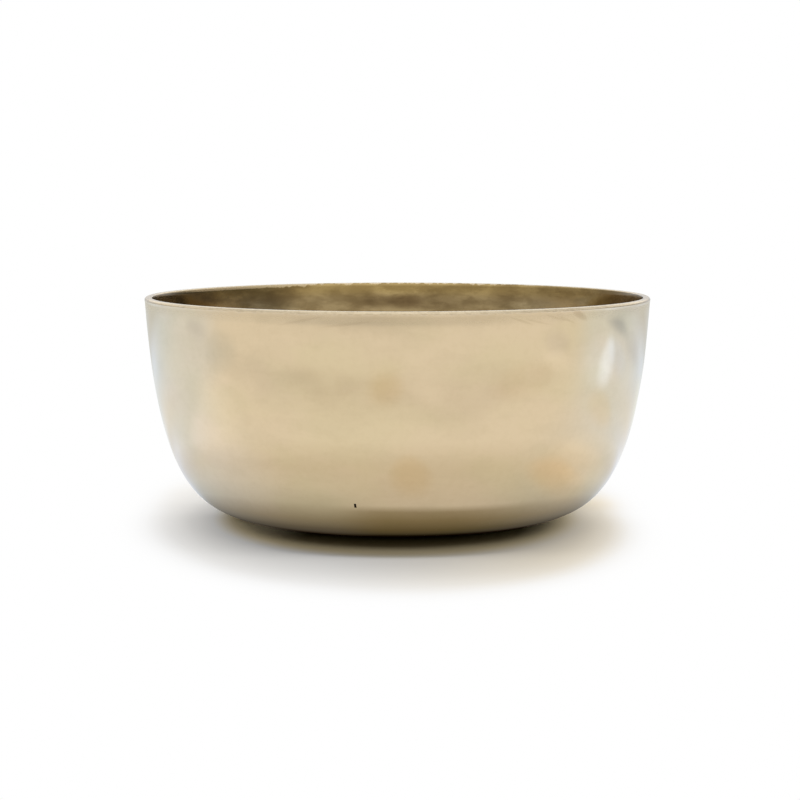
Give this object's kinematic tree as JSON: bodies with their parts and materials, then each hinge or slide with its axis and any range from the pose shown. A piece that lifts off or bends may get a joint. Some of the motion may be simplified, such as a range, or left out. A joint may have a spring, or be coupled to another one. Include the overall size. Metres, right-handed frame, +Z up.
{
  "type": "offering bowl",
  "caption": "Plain round metal bowl with a flat base, a full curved belly and a rounded, slightly flared lip, to hold offerings of water, rice, fruit or flowers.",
  "frame": {"origin": "centre of the flat base's underside, on the table", "axes": "+Z up along the bowl's own axis, out of its mouth; the bowl is round, so X and Y are free"},
  "size_m": [0.12, 0.12, 0.053],
  "materials": {
    "polished_bell_metal": "polished, hand-beaten"
  },
  "bodies": {
    "root": {"bowl": "polished_bell_metal"}
  },
  "joints": []
}
